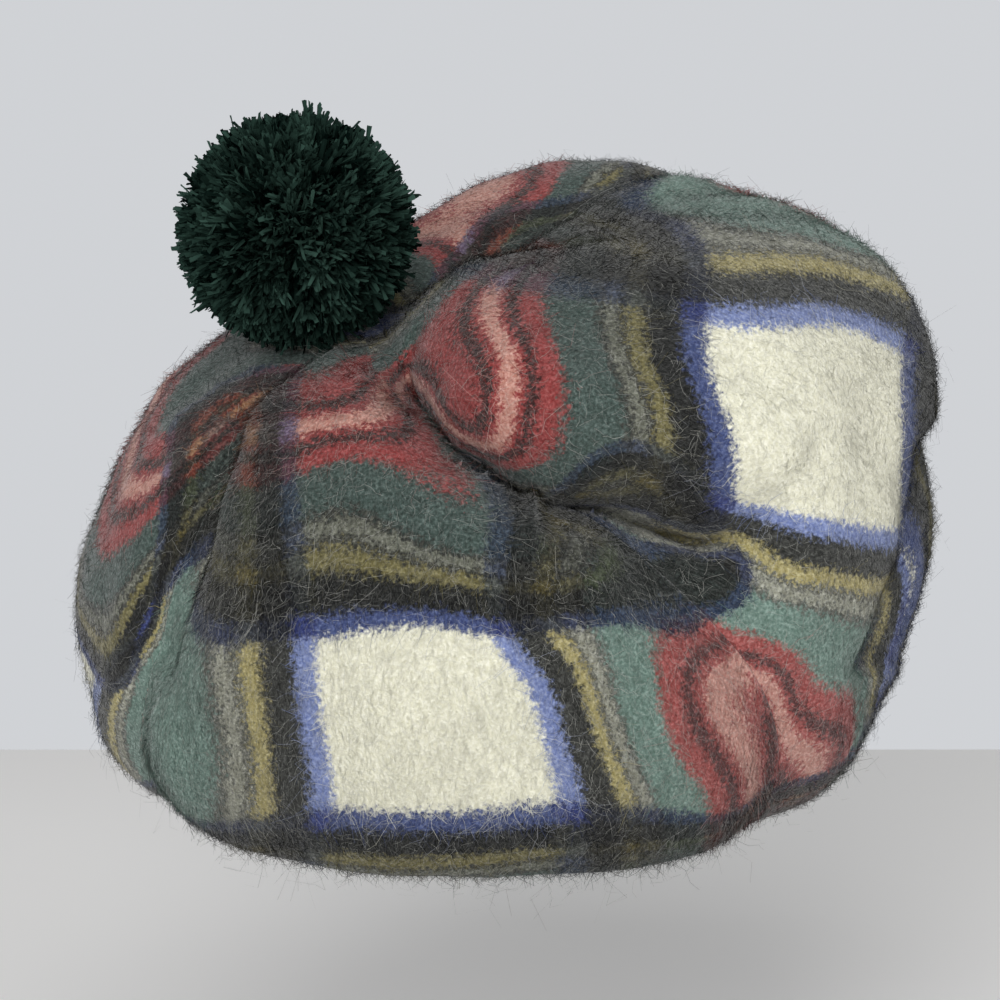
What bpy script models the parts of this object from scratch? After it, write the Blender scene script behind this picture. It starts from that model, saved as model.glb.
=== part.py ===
"""A slouched tam of brushed tartan cloth with a wool pompom, kept in the form that it has when worn.

Metres, +Z up, +X to the wearer's left side as seen from the front, +Y to the back. The origin is the
middle of the head opening, level with the lower edge of the headband.
The crown is a bag of four cloth gores. The gores run from the apex, under the pompom at the upper
left of the front, over the widest level and back up inside to the headband.
"""

import math

import bmesh
import bpy
import numpy as np
from mathutils import Vector
from mathutils.bvhtree import BVHTree

# Sizes that can each be set by themselves, in metres
HALF_WIDTH = 0.146
CREST_HEIGHT = 0.176
HANG_DEPTH = 0.043
CLOTH_WALL = 0.002
BAND_INNER_WIDTH = 0.155
BAND_INNER_DEPTH = 0.197
BAND_HEIGHT = 0.030
BAND_WALL = 0.003
POMPOM_DIAMETER = 0.082
POMPOM_TUFT = 0.007
SEAM_DEPTH = 0.006
SEAM_WIDTH = 0.014
FOLD_DEPTH = 0.019
FOLD_WIDTH = 0.013
PUFF_HEIGHT = 0.012
SEAM_GAP = 0.00036
BAND_GAP = 0.0007
POMPOM_GAP = 0.0009
APEX_HOLE = 0.0045

# How fine each piece is cut
GORE_COLUMNS, GORE_ROWS = 18, 28
CLOSING_TURN = math.radians(77)
BAND_SIDES = 48
TUFT_SEED = 7

# The pompom leans off the apex this way
POMPOM_LEAN = (-0.58, -0.20, 0.86)

# The apex lies off the middle of the top: how far out, as a share of the way to the rim, and where to
APEX_OUT, APEX_AZIMUTH = 0.21, 215.0

# The crown from its middle down its side and back up inside to the headband.
# reach is a share of a side's reach, level is 1 at its crest and 0 where it hangs lowest. gathered
# and risen are the shares of the way in and up to the headband's joint.
SECTIONS = (
    # turn, reach, level, gathered, risen
    (0.00, 0.000, 0.960, 0.00, 0.00),
    (0.10, 0.200, 0.985, 0.00, 0.00),
    (0.20, 0.420, 0.990, 0.00, 0.00),
    (0.30, 0.630, 0.940, 0.00, 0.00),
    (0.40, 0.810, 0.830, 0.00, 0.00),
    (0.50, 0.930, 0.665, 0.00, 0.00),
    (0.60, 0.995, 0.460, 0.00, 0.00),
    (0.70, 0.990, 0.250, 0.02, 0.00),
    (0.78, 0.980, 0.090, 0.14, 0.00),
    (0.85, 0.970, 0.000, 0.40, 0.00),
    (0.92, 0.960, 0.000, 0.66, 0.30),
    (1.00, 0.950, 0.000, 1.00, 1.00),
)

# How far the crown reaches, rises and hangs on each side, as shares of HALF_WIDTH, CREST_HEIGHT and
# HANG_DEPTH. The azimuth is counted from +X towards +Y.
SIDES = (
    # azimuth, reach, crest, hang
    (0.0, 1.010, 0.925, 0.45),
    (45.0, 0.960, 0.980, 0.42),
    (90.0, 0.880, 0.980, 0.50),
    (135.0, 0.890, 0.840, 0.65),
    (180.0, 0.970, 0.730, 0.76),
    (225.0, 0.950, 0.720, 0.82),
    (270.0, 0.955, 0.790, 0.80),
    (315.0, 0.955, 0.870, 0.76),
)

# Where the four seams run: the angle of each round the apex, at shares of the way to the headband
SEAMS = (
    # share, front_right, right_back, back_left, left_front
    (0.00, -92.0, 42.0, 122.0, 225.0),
    (0.20, -90.0, 40.0, 121.0, 224.0),
    (0.39, -73.0, 36.0, 120.0, 220.0),
    (0.57, -57.0, 33.0, 118.0, 213.0),
    (0.73, -44.0, 30.0, 115.0, 204.0),
    (1.00, -45.0, 32.0, 118.0, 205.0),
)

# Deep folds of the front, seen square from the front: each runs through three points, given across
# and up as shares of HALF_WIDTH. depth, width and lip are shares of FOLD_DEPTH, FOLD_WIDTH and
# PUFF_HEIGHT. The lip is the side that laps over the fold.
FOLDS = (
    # name, across_1, up_1, across_2, up_2, across_3, up_3, depth, width, lip
    ("lap_from_apex", -0.24, 0.86, -0.09, 0.70, 0.10, 0.60, 1.00, 1.00, 0.30),
    ("lap_over_front", 0.10, 0.60, 0.30, 0.56, 0.56, 0.45, 0.90, 1.00, 0.40),
    ("left_valley", -0.58, 0.72, -0.64, 0.45, -0.74, 0.10, 0.45, 1.00, 0.20),
    ("right_edge_valley", 1.00, 0.62, 0.99, 0.34, 0.86, 0.06, 0.55, 0.90, 0.30),
)

# Lobes where the cloth puffs out or sinks: a middle, a radius and a height, the lengths as shares of
# HALF_WIDTH and the height as a share of PUFF_HEIGHT
LOBES = (
    # name, across, back, up, radius, height
    ("right_lobe", 0.48, -0.55, 0.92, 0.36, 0.90),
    ("right_shoulder", 0.84, 0.00, 0.92, 0.34, 1.20),
    ("front_lobe", -0.15, -0.95, 0.25, 0.45, 0.30),
    ("hollow_under_lap", 0.42, -0.80, 0.42, 0.24, -0.90),
    ("back_crest", 0.24, 0.25, 1.22, 0.30, 1.30),
    ("left_slope", -0.85, -0.10, 0.62, 0.30, -0.35),
    ("lower_right", 0.92, -0.20, 0.04, 0.30, -0.60),
    ("right_roll", 1.05, 0.10, 0.34, 0.26, 1.40),
    ("apex_dimple", -0.28, -0.24, 0.90, 0.22, -0.70),
)

GORE_COLOURS = {
    "front": (0.50, 0.48, 0.40, 1.0),
    "right": (0.42, 0.12, 0.14, 1.0),
    "back": (0.09, 0.16, 0.15, 1.0),
    "left": (0.10, 0.14, 0.32, 1.0),
}
BAND_COLOUR = (0.02, 0.022, 0.03, 1.0)
POMPOM_COLOUR = (0.006, 0.026, 0.019, 1.0)

HEART = np.array((0.0, 0.0, 0.36 * CREST_HEIGHT))


def cloth_material(name, colour, roughness):
    """A plain rough cloth of one colour."""
    material = bpy.data.materials.new(name)
    material.use_nodes = True
    shader = material.node_tree.nodes["Principled BSDF"]
    shader.inputs["Base Color"].default_value = colour
    shader.inputs["Roughness"].default_value = roughness
    shader.inputs["Metallic"].default_value = 0.0
    material.diffuse_color = colour
    return material


def smooth(x):
    """A rise from 0 to 1 with flat ends."""
    x = np.clip(x, 0.0, 1.0)
    return x * x * (3.0 - 2.0 * x)


def through_rows(rows, column, x, period=None):
    """A column of a table as a smooth curve over the table's first column."""
    at = np.array([row[0] for row in rows], float)
    value = np.array([row[column] for row in rows], float)
    if period:
        at = np.concatenate([at[-2:] - period, at, at[:2] + period])
        value = np.concatenate([value[-2:], value, value[:2]])
        x = np.mod(x, period)
    slope = np.gradient(value, at)
    i = np.clip(np.searchsorted(at, x, side="right") - 1, 0, len(at) - 2)
    step = at[i + 1] - at[i]
    t = np.clip((x - at[i]) / step, 0.0, 1.0)
    rise = value[i + 1] - value[i]
    start, end = slope[i] * step, slope[i + 1] * step
    return value[i] + t * start + t**2 * (3 * rise - 2 * start - end) + t**3 * (start + end - 2 * rise)


def band_edge(azimuth, outwards):
    """A point on the headband's outline, some way outside its inner face."""
    half_x, half_y = BAND_INNER_WIDTH / 2 + outwards, BAND_INNER_DEPTH / 2 + outwards
    reach = 1.0 / np.hypot(np.cos(azimuth) / half_x, np.sin(azimuth) / half_y)
    return reach * np.cos(azimuth), reach * np.sin(azimuth)


def crown_form(turn, azimuth):
    """The crown without folds: turn is 0 at its middle and 1 at the headband."""
    degrees = np.degrees(azimuth)
    reach, level, gathered, risen = (through_rows(SECTIONS, c, turn) for c in (1, 2, 3, 4))
    side_reach = HALF_WIDTH * through_rows(SIDES, 1, degrees, 360.0)
    side_crest = CREST_HEIGHT * through_rows(SIDES, 2, degrees, 360.0)
    side_hang = HANG_DEPTH * through_rows(SIDES, 3, degrees, 360.0)
    middle_crest = CREST_HEIGHT * np.mean([row[2] for row in SIDES])
    crest = middle_crest + (side_crest - middle_crest) * smooth(turn / 0.34)
    out = reach * side_reach
    up = level * (crest + side_hang) - side_hang
    joint_x, joint_y = band_edge(azimuth, BAND_WALL + BAND_GAP)
    joint_up = BAND_HEIGHT - 1.5 * CLOTH_WALL
    x = out * np.cos(azimuth) * (1 - gathered) + joint_x * gathered
    y = out * np.sin(azimuth) * (1 - gathered) + joint_y * gathered
    z = up * (1 - risen) + joint_up * risen
    return np.stack([x, y, z], axis=-1)


def seam_angle(seam, share):
    """The angle round the apex of a seam, in degrees. Seam 4 is seam 0 after a whole turn."""
    return through_rows(SEAMS, 1 + seam % 4, share) + 360.0 * (seam // 4)


def fold_distance(points, row):
    """How far each point is from a fold as seen from the front, its side of it and its place along it."""
    stops = np.array(row[1:7]).reshape(3, 2) * HALF_WIDTH
    seen = points[..., [0, 2]]
    best = np.full(points.shape[:-1], 9.0)
    side, along = np.zeros_like(best), np.zeros_like(best)
    for i in range(2):
        run = stops[i + 1] - stops[i]
        t = np.clip(((seen - stops[i]) @ run) / (run @ run), 0.0, 1.0)
        off = seen - stops[i] - t[..., None] * run
        length = np.hypot(off[..., 0], off[..., 1])
        nearer = length < best
        cross = run[0] * off[..., 1] - run[1] * off[..., 0]
        best = np.where(nearer, length, best)
        side = np.where(nearer, np.sign(cross), side)
        along = np.where(nearer, (i + t) / 2.0, along)
    return best, side, along


def outwards_from_heart(points):
    away = points - HEART
    return away / np.maximum(np.linalg.norm(away, axis=-1, keepdims=True), 1e-6)


def folded(points, on_crown):
    """The crown's points with their lobes and folds. on_crown is 0 at the headband and 1 above it."""
    out = outwards_from_heart(points)
    moved = points.copy()
    for _, across, back, up, radius, height in LOBES:
        middle = np.array((across, back, up)) * HALF_WIDTH
        near = np.exp(-(np.linalg.norm(points - middle, axis=-1) / (radius * HALF_WIDTH)) ** 2)
        moved += out * (near * height * PUFF_HEIGHT * on_crown)[..., None]
    front = smooth((0.35 - out[..., 1]) / 0.35) * on_crown
    for row in FOLDS:
        depth, width, lip = row[7] * FOLD_DEPTH, row[8] * FOLD_WIDTH, row[9] * PUFF_HEIGHT
        off, side, along = fold_distance(points, row)
        fade = smooth(along / 0.12 + 0.35) * smooth((1 - along) / 0.12 + 0.35) * front
        valley = np.exp(-((off / width) ** 2))
        ridge = np.exp(-(((off - 1.7 * width) / width) ** 2)) * (side > 0)
        moved += out * ((ridge * lip - valley * depth) * fade)[..., None]
    return moved


def crown_point(gore, across, share):
    """The crown's outer skin. across runs from -1 to 1 between a gore's seams, share from apex to band."""
    low, high = seam_angle(gore, share), seam_angle(gore + 1, share)
    angle = np.radians(low + (high - low) * (across + 1) / 2)
    apex = np.radians(APEX_AZIMUTH)
    flat_x = APEX_OUT * np.cos(apex) * (1 - share) + share * np.cos(angle)
    flat_y = APEX_OUT * np.sin(apex) * (1 - share) + share * np.sin(angle)
    turn, azimuth = np.hypot(flat_x, flat_y), np.arctan2(flat_y, flat_x)
    points = crown_form(turn, azimuth)
    on_crown = smooth((0.97 - share) / 0.15)
    points = folded(points, on_crown)
    half_gore = HALF_WIDTH * np.sin(np.pi * np.clip(share, 0.0, 0.9)) * np.radians(high - low) / 2
    off_seam = (1 - np.abs(across)) * half_gore
    valley = np.exp(-((off_seam / SEAM_WIDTH) ** 2)) * smooth(share / 0.12) * on_crown
    return points - outwards_from_heart(points) * (valley * SEAM_DEPTH)[..., None]


def skin_grid(gore, columns, rows):
    """The points and outward normals of a gore, row by row, with its edges held off the seams.

    Columns lie closer towards the seams, where the cloth bends most.
    """
    first = APEX_HOLE / (2 * HALF_WIDTH)
    share = np.linspace(first, 1, rows + 1)
    across = np.sin(np.linspace(-1, 1, columns + 1) * CLOSING_TURN) / math.sin(CLOSING_TURN)
    across, share = np.meshgrid(across, share)
    points = crown_point(gore, across, share)
    step = 0.1 / columns
    sideways = crown_point(gore, across + step, share) - crown_point(gore, across - step, share)
    upper = np.clip(share - step, 0.001, 1.0)
    lower = np.clip(share + step, 0.001, 1.0)
    down = crown_point(gore, across, lower) - crown_point(gore, across, upper)
    for edge, reach in ((0, 1.0), (-1, -1.0)):
        inward = sideways[:, edge] / np.linalg.norm(sideways[:, edge], axis=-1, keepdims=True)
        points[:, edge] += inward * reach * SEAM_GAP / 2
    normal = np.cross(down, sideways)
    normal /= np.linalg.norm(normal, axis=-1, keepdims=True)
    return points, normal


def add_piece(name, mesh, material):
    piece = bpy.data.objects.new(name, mesh)
    bpy.context.scene.collection.objects.link(piece)
    mesh.materials.append(material)
    mesh.shade_smooth()
    return piece


def closed_mesh(name, points, faces):
    mesh = bpy.data.meshes.new(name)
    mesh.from_pydata([tuple(p) for p in points], [], faces)
    shape = bmesh.new()
    shape.from_mesh(mesh)
    bmesh.ops.recalc_face_normals(shape, faces=shape.faces)
    shape.to_mesh(mesh)
    shape.free()
    return mesh


def gore_panel(name, gore, colour):
    """One cloth gore: an outer and an inner skin one cloth apart, closed along its four edges."""
    points, normal = skin_grid(gore, GORE_COLUMNS, GORE_ROWS)
    inner = points - normal * CLOTH_WALL
    rows, columns = points.shape[:2]
    flat = np.concatenate([points.reshape(-1, 3), inner.reshape(-1, 3)])
    size = rows * columns
    faces = []
    for r in range(rows - 1):
        for c in range(columns - 1):
            i = r * columns + c
            faces.append((i, i + 1, i + columns + 1, i + columns))
            faces.append((size + i, size + i + columns, size + i + columns + 1, size + i + 1))
    top, bottom = range(columns), range((rows - 1) * columns, size)
    left, right = range(0, size, columns), range(columns - 1, size, columns)
    for edge in (top, bottom, left, right):
        edge = list(edge)
        for i, j in zip(edge, edge[1:]):
            faces.append((i, j, size + j, size + i))
    return add_piece(name, closed_mesh(name, flat, faces), cloth_material(name, colour, 0.95))


def headband():
    """A folded strip of cloth sewn to a ring, with its edges rounded."""
    angle = np.linspace(0, 2 * np.pi, BAND_SIDES, endpoint=False)
    rim = BAND_WALL * 0.25
    outline = (
        (rim, 0.0),
        (BAND_WALL - rim, 0.0),
        (BAND_WALL, rim),
        (BAND_WALL, BAND_HEIGHT - rim),
        (BAND_WALL - rim, BAND_HEIGHT),
        (rim, BAND_HEIGHT),
        (0.0, BAND_HEIGHT - rim),
        (0.0, rim),
    )
    points, faces = [], []
    for outwards, up in outline:
        x, y = band_edge(angle, outwards)
        points.extend(zip(x, y, np.full_like(x, up)))
    for ring in range(len(outline)):
        after = (ring + 1) % len(outline)
        for i in range(BAND_SIDES):
            j = (i + 1) % BAND_SIDES
            here, there = ring * BAND_SIDES, after * BAND_SIDES
            faces.append((here + i, here + j, there + j, there + i))
    return add_piece("headband", closed_mesh("headband", points, faces), cloth_material("headband", BAND_COLOUR, 0.9))


def crown_tree(panels):
    """The cloth of all the panels, for finding how far away it is."""
    points, faces = [], []
    for panel in panels:
        start = len(points)
        points.extend(v.co.copy() for v in panel.data.vertices)
        faces.extend([start + i for i in f.vertices] for f in panel.data.polygons)
    return BVHTree.FromPolygons(points, faces)


def pompom(panels):
    """A ball of wool yarn: a head with its tufts fused on, pressed flat where it sits on the crown."""
    radius = POMPOM_DIAMETER / 2
    apex = crown_point(0, np.array(0.0), np.array(0.004))
    middle = Vector(apex) + Vector(POMPOM_LEAN).normalized() * (radius - POMPOM_TUFT / 2)
    coarse = bmesh.new()
    bmesh.ops.create_icosphere(coarse, subdivisions=3, radius=1.0)
    tips = {tuple(round(x, 4) for x in v.co) for v in coarse.verts}
    coarse.free()
    ball = bmesh.new()
    bmesh.ops.create_icosphere(ball, subdivisions=4, radius=1.0)
    random = np.random.default_rng(TUFT_SEED)
    tree = crown_tree(panels)
    for v in ball.verts:
        is_tip = tuple(round(x, 4) for x in v.co) in tips
        out = v.co.normalized()
        length = radius - (0.0 if is_tip else POMPOM_TUFT) - POMPOM_TUFT * 0.5 * random.random()
        cloth = tree.ray_cast(middle, out, 2 * radius)[3]
        if cloth is not None:
            length = min(length, cloth - POMPOM_GAP)
        v.co = middle + out * length
    mesh = bpy.data.meshes.new("pompom")
    ball.to_mesh(mesh)
    ball.free()
    return add_piece("pompom", mesh, cloth_material("pompom", POMPOM_COLOUR, 0.95))


for old in list(bpy.data.objects):
    bpy.data.objects.remove(old, do_unlink=True)

GORES = (("front", -1), ("right", 0), ("back", 1), ("left", 2))
crown_panels = [gore_panel(f"crown_panel_{side}", gore, GORE_COLOURS[side]) for side, gore in GORES]
headband()
pompom(crown_panels)
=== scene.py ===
"""A slouched tam of brushed tartan cloth with a wool pompom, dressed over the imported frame."""

import math

import bmesh
import bpy
import numpy as np
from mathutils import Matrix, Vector
from mathutils.bvhtree import BVHTree


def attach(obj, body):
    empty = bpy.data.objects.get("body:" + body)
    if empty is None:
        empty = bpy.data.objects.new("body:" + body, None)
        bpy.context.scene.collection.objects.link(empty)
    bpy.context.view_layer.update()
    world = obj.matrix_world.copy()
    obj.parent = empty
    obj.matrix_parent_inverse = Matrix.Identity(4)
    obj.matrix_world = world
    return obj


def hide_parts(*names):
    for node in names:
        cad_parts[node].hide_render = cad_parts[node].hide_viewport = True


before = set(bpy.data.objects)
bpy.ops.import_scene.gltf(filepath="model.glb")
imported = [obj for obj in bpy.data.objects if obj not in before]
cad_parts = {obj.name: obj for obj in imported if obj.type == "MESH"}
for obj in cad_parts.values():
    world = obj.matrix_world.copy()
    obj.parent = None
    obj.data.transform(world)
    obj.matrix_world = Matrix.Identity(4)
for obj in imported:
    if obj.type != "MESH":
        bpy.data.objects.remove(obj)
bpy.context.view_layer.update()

# Crown panels
# Four gores of brushed mohair cloth, cut so that the stripes of a large dress tartan meet in mitres
# at the seams. They are sewn into a bag that slouches over its headband, with a deep lap in front.
HALF_WIDTH = 0.146
CREST_HEIGHT = 0.176
HANG_DEPTH = 0.043
CLOTH_WALL = 0.002
BAND_INNER_WIDTH = 0.155
BAND_INNER_DEPTH = 0.197
BAND_HEIGHT = 0.030
BAND_WALL = 0.003
BAND_GAP = 0.0007
SEAM_DEPTH = 0.006
SEAM_WIDTH = 0.014
FOLD_DEPTH = 0.019
FOLD_WIDTH = 0.013
PUFF_HEIGHT = 0.012
CREASE_DEPTH, CREASE_SHARE = 0.007, 0.34
LAP_OVER = 0.022
APEX_HOLE = 0.0045
CLOSING_TURN = math.radians(77)
APEX_OUT, APEX_AZIMUTH = 0.21, 215.0
HEART = np.array((0.0, 0.0, 0.36 * CREST_HEIGHT))

SECTIONS = (
    # turn, reach, level, gathered, risen
    (0.00, 0.000, 0.960, 0.00, 0.00),
    (0.10, 0.200, 0.985, 0.00, 0.00),
    (0.20, 0.420, 0.990, 0.00, 0.00),
    (0.30, 0.630, 0.940, 0.00, 0.00),
    (0.40, 0.810, 0.830, 0.00, 0.00),
    (0.50, 0.930, 0.665, 0.00, 0.00),
    (0.60, 0.995, 0.460, 0.00, 0.00),
    (0.70, 0.990, 0.250, 0.02, 0.00),
    (0.78, 0.980, 0.090, 0.14, 0.00),
    (0.85, 0.970, 0.000, 0.40, 0.00),
    (0.92, 0.960, 0.000, 0.66, 0.30),
    (1.00, 0.950, 0.000, 1.00, 1.00),
)
SIDES = (
    # azimuth, reach, crest, hang
    (0.0, 1.010, 0.925, 0.45),
    (45.0, 0.960, 0.980, 0.42),
    (90.0, 0.880, 0.980, 0.50),
    (135.0, 0.890, 0.840, 0.65),
    (180.0, 0.970, 0.730, 0.76),
    (225.0, 0.950, 0.720, 0.82),
    (270.0, 0.955, 0.790, 0.80),
    (315.0, 0.955, 0.870, 0.76),
)
SEAMS = (
    # share, front_right, right_back, back_left, left_front
    (0.00, -92.0, 42.0, 122.0, 225.0),
    (0.20, -90.0, 40.0, 121.0, 224.0),
    (0.39, -73.0, 36.0, 120.0, 220.0),
    (0.57, -57.0, 33.0, 118.0, 213.0),
    (0.73, -44.0, 30.0, 115.0, 204.0),
    (1.00, -45.0, 32.0, 118.0, 205.0),
)
FOLDS = (
    # name, across_1, up_1, across_2, up_2, across_3, up_3, depth, width, lip
    ("lap_from_apex", -0.24, 0.86, -0.09, 0.70, 0.10, 0.60, 1.00, 1.00, 0.30),
    ("lap_over_front", 0.10, 0.60, 0.30, 0.56, 0.56, 0.45, 0.90, 1.00, 0.40),
    ("left_valley", -0.58, 0.72, -0.64, 0.45, -0.74, 0.10, 0.45, 1.00, 0.20),
    ("right_edge_valley", 1.00, 0.62, 0.99, 0.34, 0.86, 0.06, 0.55, 0.90, 0.30),
)
LOBES = (
    # name, across, back, up, radius, height
    ("right_lobe", 0.48, -0.55, 0.92, 0.36, 0.90),
    ("right_shoulder", 0.84, 0.00, 0.92, 0.34, 1.20),
    ("front_lobe", -0.15, -0.95, 0.25, 0.45, 0.30),
    ("hollow_under_lap", 0.42, -0.80, 0.42, 0.24, -0.90),
    ("back_crest", 0.24, 0.25, 1.22, 0.30, 1.30),
    ("left_slope", -0.85, -0.10, 0.62, 0.30, -0.35),
    ("lower_right", 0.92, -0.20, 0.04, 0.30, -0.60),
    ("right_roll", 1.05, 0.10, 0.34, 0.26, 1.40),
    ("apex_dimple", -0.28, -0.24, 0.90, 0.22, -0.70),
)

# Threads are counted from the apex down each gore, and to both sides of its middle. These are the
# rows at shares of the way down, and the threads across at each gore's two edges. Where the lap
# hides cloth, the two gores' edges don't match.
GORE_ROWS = (
    # share, threads_down
    (0.00, 0.0),
    (0.12, 45.0),
    (0.23, 67.0),
    (0.35, 87.0),
    (0.45, 106.0),
    (0.53, 129.0),
    (0.61, 162.0),
    (0.71, 199.0),
    (0.80, 224.0),
    (0.90, 256.0),
    (1.00, 290.0),
)
GORE_EDGES = (
    # share, front_low, front_high, right_low, right_high, back_low, back_high, left_low, left_high
    (0.00, -8.0, 0.0, 15.0, 8.0, -8.0, 8.0, -8.0, 8.0),
    (0.12, -42.0, 5.0, 21.0, 50.0, -50.0, 42.0, -42.0, 42.0),
    (0.25, -60.0, 25.0, 5.0, 66.0, -66.0, 62.0, -62.0, 60.0),
    (0.38, -65.0, 45.0, -12.0, 82.0, -82.0, 78.0, -78.0, 65.0),
    (0.42, -67.0, 52.0, -20.0, 88.0, -88.0, 84.0, -84.0, 67.0),
    (0.46, -70.0, 58.0, -57.0, 94.0, -94.0, 90.0, -90.0, 70.0),
    (0.51, -74.0, 66.0, -66.0, 100.0, -100.0, 96.0, -96.0, 74.0),
    (0.56, -76.0, 73.0, -73.0, 105.0, -105.0, 101.0, -101.0, 76.0),
    (0.62, -78.0, 80.0, -80.0, 109.0, -109.0, 106.0, -106.0, 78.0),
    (0.70, -79.0, 101.0, -101.0, 112.0, -112.0, 110.0, -110.0, 79.0),
    (0.80, -79.0, 107.0, -107.0, 112.0, -112.0, 110.0, -110.0, 79.0),
    (0.90, -78.0, 100.0, -100.0, 100.0, -100.0, 98.0, -98.0, 78.0),
    (1.00, -74.0, 78.0, -78.0, 78.0, -78.0, 76.0, -76.0, 74.0),
)


def smooth(x):
    """A rise from 0 to 1 with flat ends."""
    x = np.clip(x, 0.0, 1.0)
    return x * x * (3.0 - 2.0 * x)


def through_rows(rows, column, x, period=None):
    """A column of a table as a smooth curve over the table's first column."""
    at = np.array([row[0] for row in rows], float)
    value = np.array([row[column] for row in rows], float)
    if period:
        at = np.concatenate([at[-2:] - period, at, at[:2] + period])
        value = np.concatenate([value[-2:], value, value[:2]])
        x = np.mod(x, period)
    slope = np.gradient(value, at)
    i = np.clip(np.searchsorted(at, x, side="right") - 1, 0, len(at) - 2)
    step = at[i + 1] - at[i]
    t = np.clip((x - at[i]) / step, 0.0, 1.0)
    rise = value[i + 1] - value[i]
    start, end = slope[i] * step, slope[i + 1] * step
    return value[i] + t * start + t**2 * (3 * rise - 2 * start - end) + t**3 * (start + end - 2 * rise)


def band_edge(azimuth, outwards):
    """A point on the headband's outline, some way outside its inner face."""
    half_x, half_y = BAND_INNER_WIDTH / 2 + outwards, BAND_INNER_DEPTH / 2 + outwards
    reach = 1.0 / np.hypot(np.cos(azimuth) / half_x, np.sin(azimuth) / half_y)
    return reach * np.cos(azimuth), reach * np.sin(azimuth)


def crown_form(turn, azimuth):
    """The crown without folds: turn is 0 at its middle and 1 at the headband."""
    degrees = np.degrees(azimuth)
    reach, level, gathered, risen = (through_rows(SECTIONS, c, turn) for c in (1, 2, 3, 4))
    side_reach = HALF_WIDTH * through_rows(SIDES, 1, degrees, 360.0)
    side_crest = CREST_HEIGHT * through_rows(SIDES, 2, degrees, 360.0)
    side_hang = HANG_DEPTH * through_rows(SIDES, 3, degrees, 360.0)
    middle_crest = CREST_HEIGHT * np.mean([row[2] for row in SIDES])
    crest = middle_crest + (side_crest - middle_crest) * smooth(turn / 0.34)
    out = reach * side_reach
    up = level * (crest + side_hang) - side_hang
    joint_x, joint_y = band_edge(azimuth, BAND_WALL + BAND_GAP)
    joint_up = BAND_HEIGHT - 1.5 * CLOTH_WALL
    x = out * np.cos(azimuth) * (1 - gathered) + joint_x * gathered
    y = out * np.sin(azimuth) * (1 - gathered) + joint_y * gathered
    z = up * (1 - risen) + joint_up * risen
    return np.stack([x, y, z], axis=-1)


def seam_angle(seam, share):
    return through_rows(SEAMS, 1 + seam % 4, share) + 360.0 * (seam // 4)


def fold_distance(points, row):
    """How far points are from a fold seen from the front, their side, place along it and way to its lip."""
    stops = np.array(row[1:7]).reshape(3, 2) * HALF_WIDTH
    seen = points[..., [0, 2]]
    best = np.full(points.shape[:-1], 9.0)
    side, along = np.zeros_like(best), np.zeros_like(best)
    normals = []
    for i in range(2):
        run = stops[i + 1] - stops[i]
        normals.append(np.array((-run[1], 0.0, run[0])) / np.hypot(*run))
        t = np.clip(((seen - stops[i]) @ run) / (run @ run), 0.0, 1.0)
        off = seen - stops[i] - t[..., None] * run
        length = np.hypot(off[..., 0], off[..., 1])
        nearer = length < best
        cross = run[0] * off[..., 1] - run[1] * off[..., 0]
        best = np.where(nearer, length, best)
        side = np.where(nearer, np.sign(cross), side)
        along = np.where(nearer, (i + t) / 2.0, along)
    bend = smooth(along)[..., None]
    return best, side, along, normals[0] * (1 - bend) + normals[1] * bend


def outwards_from_heart(points):
    away = points - HEART
    return away / np.maximum(np.linalg.norm(away, axis=-1, keepdims=True), 1e-6)


def folded(points, on_crown):
    """The crown's points with their lobes and folds. on_crown is 0 at the headband and 1 above it."""
    out = outwards_from_heart(points)
    moved = points.copy()
    for _, across, back, up, radius, height in LOBES:
        middle = np.array((across, back, up)) * HALF_WIDTH
        near = np.exp(-(np.linalg.norm(points - middle, axis=-1) / (radius * HALF_WIDTH)) ** 2)
        moved += out * (near * height * PUFF_HEIGHT * on_crown)[..., None]
    front = smooth((0.35 - out[..., 1]) / 0.35) * on_crown
    for row in FOLDS:
        depth, width, lip = row[7] * FOLD_DEPTH, row[8] * FOLD_WIDTH, row[9] * PUFF_HEIGHT
        off, side, along, lipwards = fold_distance(points, row)
        fade = smooth(along / 0.12 + 0.35) * smooth((1 - along) / 0.12 + 0.35) * front
        valley = np.exp(-((off / width) ** 2))
        crease = np.exp(-((off / (CREASE_SHARE * width)) ** 2)) * CREASE_DEPTH * row[7]
        ridge = np.exp(-(((off - 1.7 * width) / width) ** 2)) * (side > 0)
        moved += out * ((ridge * lip - valley * depth - crease) * fade)[..., None]
        over = np.exp(-(((side * off - 0.6 * width) / (0.7 * width)) ** 2)) * row[9] * LAP_OVER
        moved -= lipwards * (over * fade)[..., None]
    return moved


def crown_point(gore, across, share):
    """The crown's outer skin. across runs from -1 to 1 between a gore's seams, share from apex to band."""
    low, high = seam_angle(gore, share), seam_angle(gore + 1, share)
    angle = np.radians(low + (high - low) * (across + 1) / 2)
    apex = np.radians(APEX_AZIMUTH)
    flat_x = APEX_OUT * np.cos(apex) * (1 - share) + share * np.cos(angle)
    flat_y = APEX_OUT * np.sin(apex) * (1 - share) + share * np.sin(angle)
    turn, azimuth = np.hypot(flat_x, flat_y), np.arctan2(flat_y, flat_x)
    points = crown_form(turn, azimuth)
    on_crown = smooth((0.97 - share) / 0.15)
    points = folded(points, on_crown)
    half_gore = HALF_WIDTH * np.sin(np.pi * np.clip(share, 0.0, 0.9)) * np.radians(high - low) / 2
    off_seam = (1 - np.abs(across)) * half_gore
    valley = np.exp(-((off_seam / SEAM_WIDTH) ** 2)) * smooth(share / 0.12) * on_crown
    return points - outwards_from_heart(points) * (valley * SEAM_DEPTH)[..., None]


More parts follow.
